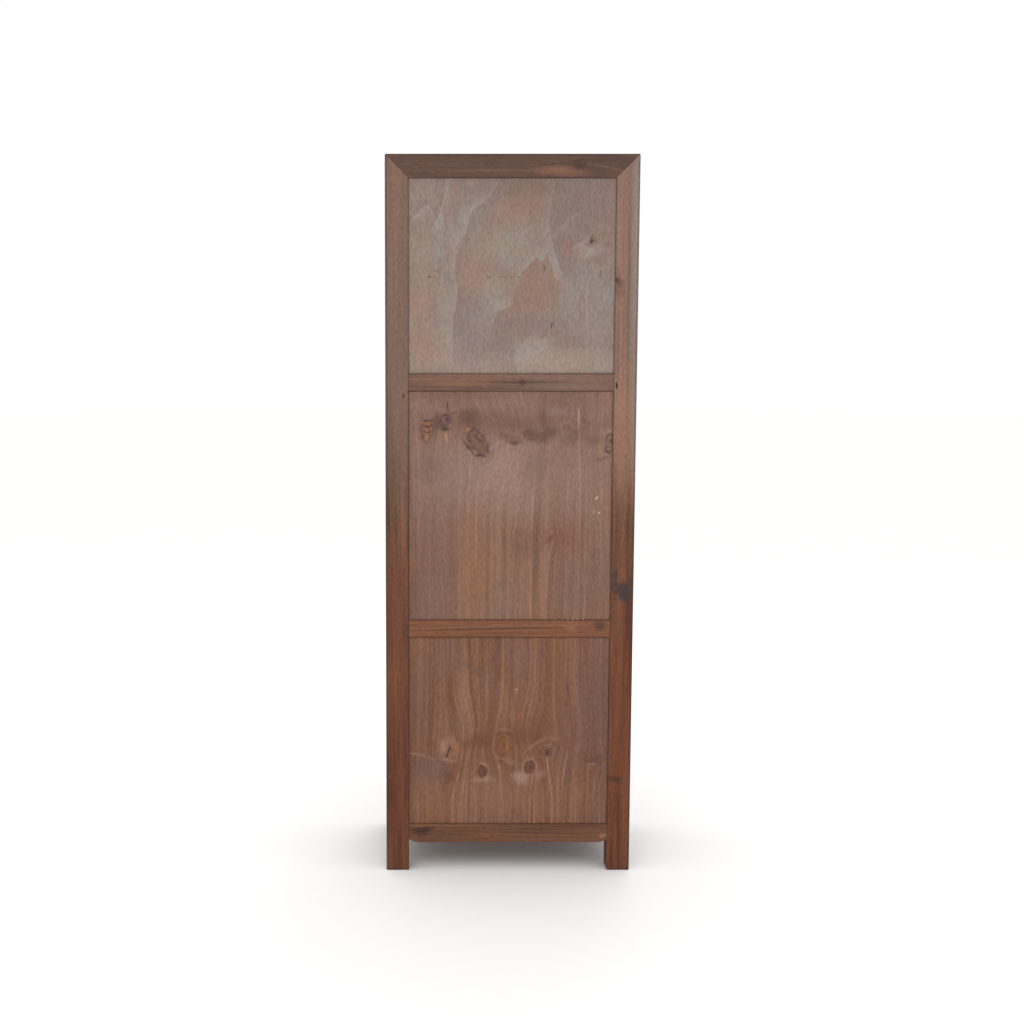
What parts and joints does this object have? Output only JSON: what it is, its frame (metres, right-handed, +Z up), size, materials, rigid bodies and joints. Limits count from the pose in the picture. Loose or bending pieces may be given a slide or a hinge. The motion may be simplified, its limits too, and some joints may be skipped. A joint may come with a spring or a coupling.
{
  "type": "book cabinet",
  "caption": "Tall narrow book cabinet: mitred hardwood frame with floating panels, an open display bay above drawers, and a cupboard with pivot-hung doors.",
  "frame": {"origin": "on the floor under the middle of the carcass", "axes": "+Z up; the doors and drawers face -Y and the panelled back faces +Y; +X to the right seen from the front"},
  "size_m": [0.65, 0.3856, 1.88],
  "materials": {
    "elm_frame": "stained solid elm, wiped oil, worn at the arrises",
    "back_veneer": "rotary-cut softwood veneer board, thin brown stain, unpolished",
    "side_panel": "stained board, wiped oil",
    "door_panel": "stained board, wiped oil",
    "board": "stained board, dry",
    "inner_wood": "bare softwood, darkened with age",
    "brass": "aged brass, brown in the hollows"
  },
  "bodies": {
    "carcass": {"back_bottom_rail": "elm_frame", "back_left_post": "elm_frame", "back_lower_panel": "back_veneer", "back_middle_panel": "back_veneer", "back_middle_rail": "elm_frame", "back_right_post": "elm_frame", "back_top_rail": "elm_frame", "back_upper_panel": "back_veneer", "back_upper_rail": "elm_frame", "book_shelf": "board", "display_deck": "board", "drawer_bearer": "inner_wood", "drawer_divider": "elm_frame", "drawer_runners": "inner_wood", "floor_board": "board", "front_apron": "elm_frame", "front_bottom_rail": "elm_frame", "front_drawer_rail": "elm_frame", "front_left_post": "elm_frame", "front_right_post": "elm_frame", "front_top_rail": "elm_frame", "front_upper_rail": "elm_frame", "left_bottom_rail": "elm_frame", "left_lower_panel": "side_panel", "left_middle_panel": "side_panel", "left_middle_rail": "elm_frame", "left_top_rail": "elm_frame", "left_upper_panel": "side_panel", "left_upper_rail": "elm_frame", "right_bottom_rail": "elm_frame", "right_lower_panel": "side_panel", "right_middle_panel": "side_panel", "right_middle_rail": "elm_frame", "right_top_rail": "elm_frame", "right_upper_panel": "side_panel", "right_upper_rail": "elm_frame", "shelf_bearer": "inner_wood", "top_panel": "side_panel"},
    "left_door": {"left_door_hinge_stile": "elm_frame", "left_door_meeting_stile": "elm_frame", "left_door_panels": "door_panel", "left_door_plate": "brass", "left_door_rails": "elm_frame"},
    "right_door": {"right_door_hinge_stile": "elm_frame", "right_door_meeting_stile": "elm_frame", "right_door_panels": "door_panel", "right_door_plate": "brass", "right_door_rails": "elm_frame"},
    "left_drawer": {"left_bail_posts": "brass", "left_drawer_bottom": "inner_wood", "left_drawer_front": "elm_frame", "left_drawer_sides": "inner_wood"},
    "right_drawer": {"right_bail_posts": "brass", "right_drawer_bottom": "inner_wood", "right_drawer_front": "elm_frame", "right_drawer_sides": "inner_wood"},
    "left_door_drop": {"left_door_drop": "brass"},
    "right_door_drop": {"right_door_drop": "brass"},
    "left_bail": {"left_bail": "brass"},
    "right_bail": {"right_bail": "brass"}
  },
  "joints": [
    {"name": "left_door_swing", "type": "hinge", "parent": "carcass", "child": "left_door", "pos_m": [-0.252, -0.173, 0.127], "axis": [0, 0, -1], "range_deg": [0, 90]},
    {"name": "right_door_swing", "type": "hinge", "parent": "carcass", "child": "right_door", "pos_m": [0.252, -0.173, 0.127], "axis": [0, 0, 1], "range_deg": [0, 90]},
    {"name": "left_drawer_slide", "type": "slide", "parent": "carcass", "child": "left_drawer", "axis": [0, -1, 0], "range_m": [0, 0.2]},
    {"name": "right_drawer_slide", "type": "slide", "parent": "carcass", "child": "right_drawer", "axis": [0, -1, 0], "range_m": [0, 0.2]},
    {"name": "left_drop_swing", "type": "hinge", "parent": "left_door", "child": "left_door_drop", "pos_m": [-0.021, -0.1915, 0.8], "axis": [-1, 0, 0], "range_deg": [0, 80]},
    {"name": "right_drop_swing", "type": "hinge", "parent": "right_door", "child": "right_door_drop", "pos_m": [0.021, -0.1915, 0.8], "axis": [-1, 0, 0], "range_deg": [0, 80]},
    {"name": "left_bail_swing", "type": "hinge", "parent": "left_drawer", "child": "left_bail", "pos_m": [-0.1385, -0.192, 1.22], "axis": [-1, 0, 0], "range_deg": [0, 75]},
    {"name": "right_bail_swing", "type": "hinge", "parent": "right_drawer", "child": "right_bail", "pos_m": [0.1385, -0.192, 1.22], "axis": [-1, 0, 0], "range_deg": [0, 75]}
  ]
}
